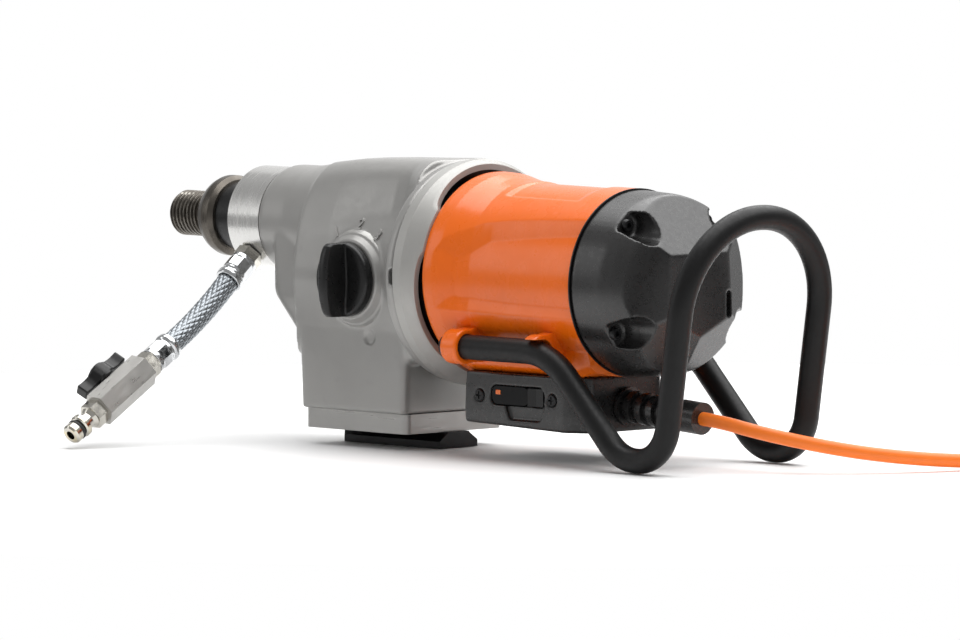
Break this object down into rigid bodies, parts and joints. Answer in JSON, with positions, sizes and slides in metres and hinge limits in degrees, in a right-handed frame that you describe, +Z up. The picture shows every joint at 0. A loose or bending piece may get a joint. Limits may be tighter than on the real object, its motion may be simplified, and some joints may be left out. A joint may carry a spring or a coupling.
{
  "type": "core drill motor unit",
  "caption": "Core drill motor unit with a dovetail foot, geared threaded spindle, speed selector, water collar with valve hose, hand loop and mains cable.",
  "frame": {"origin": "middle of the foot plate's lower face, on the surface that the unit stands on", "axes": "+Z up, -X the way the spindle points, -Y the side with the speed selector"},
  "size_m": [0.792, 0.4772, 0.199],
  "materials": {
    "gear_case_paint": "satin light grey paint on a fine-cast surface",
    "motor_shell_orange": "glossy orange moulding",
    "charcoal_plastic": "dark grey moulding, light grain",
    "black_plastic": "black moulding",
    "window_gloss": "gloss black",
    "bearing_flange_aluminium": "silver painted casting",
    "collar_aluminium": "turned bright aluminium",
    "foot_aluminium": "milled",
    "plate_black": "black oxide",
    "spindle_steel": "burnished dark steel",
    "gear_steel": "ground steel",
    "screw_steel": "zinc plated",
    "nickel_brass": "nickel plated brass",
    "crimp_steel": "bright plated steel",
    "valve_metal": "satin nickel",
    "braid_steel": "braided stainless wire",
    "loop_rubber": "black grip coating",
    "seal_rubber": "black rubber",
    "cable_orange": "orange cable sheath",
    "plug_rubber": "black rubber",
    "laminations": "stacked sheet steel",
    "copper": "copper",
    "carbon": "carbon",
    "board_green": "circuit board"
  },
  "bodies": {
    "motor_unit": {"mount_plate": "plate_black", "plate_screws": "screw_steel", "foot_block": "foot_aluminium", "gear_housing": "gear_case_paint", "bearing_flange": "bearing_flange_aluminium", "flange_bolts": "screw_steel", "water_collar": "collar_aluminium", "collar_seals": "seal_rubber", "wiper_seal": "seal_rubber", "spindle_bearings": "gear_steel", "lay_bearings": "gear_steel", "fork_rail": "gear_steel", "motor_housing": "motor_shell_orange", "air_guide": "black_plastic", "stator": "laminations", "field_coils": "copper", "motor_bearings": "gear_steel", "brushes": "carbon", "brush_holders": "copper", "rear_cap": "charcoal_plastic", "cap_screws": "plate_black", "hand_loop": "loop_rubber", "switch_box": "charcoal_plastic", "box_screws": "plate_black", "display_window": "window_gloss", "control_board": "board_green", "cable_gland": "black_plastic", "cable_boot": "charcoal_plastic", "mains_cable": "cable_orange", "cable_coil": "cable_orange", "plug_body": "plug_rubber", "plug_pins": "nickel_brass", "water_nipple": "nickel_brass", "hose_crimp_upper": "crimp_steel", "water_hose": "braid_steel", "hose_crimp_lower": "crimp_steel", "valve_union": "nickel_brass", "valve_body": "valve_metal", "hose_coupler": "nickel_brass", "coupler_seal": "seal_rubber"},
    "spindle_body": {"spindle": "spindle_steel", "middle_gear": "gear_steel"},
    "high_gear_body": {"high_gear": "gear_steel"},
    "low_gear_body": {"low_gear": "gear_steel"},
    "key_body": {"shift_key": "gear_steel"},
    "lay_body": {"lay_shaft": "gear_steel", "lay_gears": "gear_steel", "drive_gear": "gear_steel"},
    "rotor_body": {"rotor_shaft": "gear_steel", "armature_core": "laminations", "armature_winding": "copper", "commutator": "copper", "cooling_fan": "black_plastic"},
    "selector_body": {"selector_shaft": "gear_steel", "selector_knob": "black_plastic"},
    "fork_body": {"shift_fork": "gear_steel"},
    "rocker_body": {"power_rocker": "black_plastic"},
    "valve_lever_body": {"valve_handle": "black_plastic", "valve_stem": "nickel_brass", "valve_ball": "nickel_brass"}
  },
  "joints": [
    {"name": "spindle_spin", "type": "hinge", "parent": "motor_unit", "child": "spindle_body", "pos_m": [0, 0, 0.14975], "axis": [1, 0, 0], "continuous": true},
    {"name": "lay_spin", "type": "hinge", "parent": "motor_unit", "child": "lay_body", "pos_m": [0, 0, 0.0965], "axis": [1, 0, 0], "continuous": true},
    {"name": "rotor_spin", "type": "hinge", "parent": "motor_unit", "child": "rotor_body", "pos_m": [0, 0, 0.1215], "axis": [1, 0, 0], "continuous": true},
    {"name": "high_gear_spin", "type": "hinge", "parent": "motor_unit", "child": "high_gear_body", "pos_m": [0, 0, 0.14975], "axis": [1, 0, 0], "continuous": true},
    {"name": "low_gear_spin", "type": "hinge", "parent": "motor_unit", "child": "low_gear_body", "pos_m": [0, 0, 0.14975], "axis": [1, 0, 0], "continuous": true},
    {"name": "selector_turn", "type": "hinge", "parent": "motor_unit", "child": "selector_body", "pos_m": [0, -0.05, 0.116], "axis": [0, 1, 0], "range_deg": [-34, 34]},
    {"name": "fork_slide", "type": "slide", "parent": "motor_unit", "child": "fork_body", "axis": [1, 0, 0], "range_m": [-0.0145, 0.0145]},
    {"name": "key_slide", "type": "slide", "parent": "spindle_body", "child": "key_body", "axis": [1, 0, 0], "range_m": [-0.0145, 0.0145]},
    {"name": "rocker_press", "type": "hinge", "parent": "motor_unit", "child": "rocker_body", "pos_m": [0.1732, -0.041, 0.04325], "axis": [0, 0, -1], "range_deg": [0, 10]},
    {"name": "valve_turn", "type": "hinge", "parent": "motor_unit", "child": "valve_lever_body", "pos_m": [-0.129, -0.15032, 0.03788], "axis": [-0.7986, -0.3171, 0.5115], "range_deg": [0, 90]}
  ],
  "couplings": [
    {"joint": "lay_spin", "follows": "spindle_spin", "ratio": -1.7308},
    {"joint": "rotor_spin", "follows": "spindle_spin", "ratio": 4.4505},
    {"joint": "high_gear_spin", "follows": "spindle_spin", "ratio": 1.3413},
    {"joint": "low_gear_spin", "follows": "spindle_spin", "ratio": 0.77708},
    {"joint": "fork_slide", "follows": "selector_turn", "m_per_rad": 0.023592},
    {"joint": "key_slide", "follows": "selector_turn", "m_per_rad": 0.023592}
  ]
}
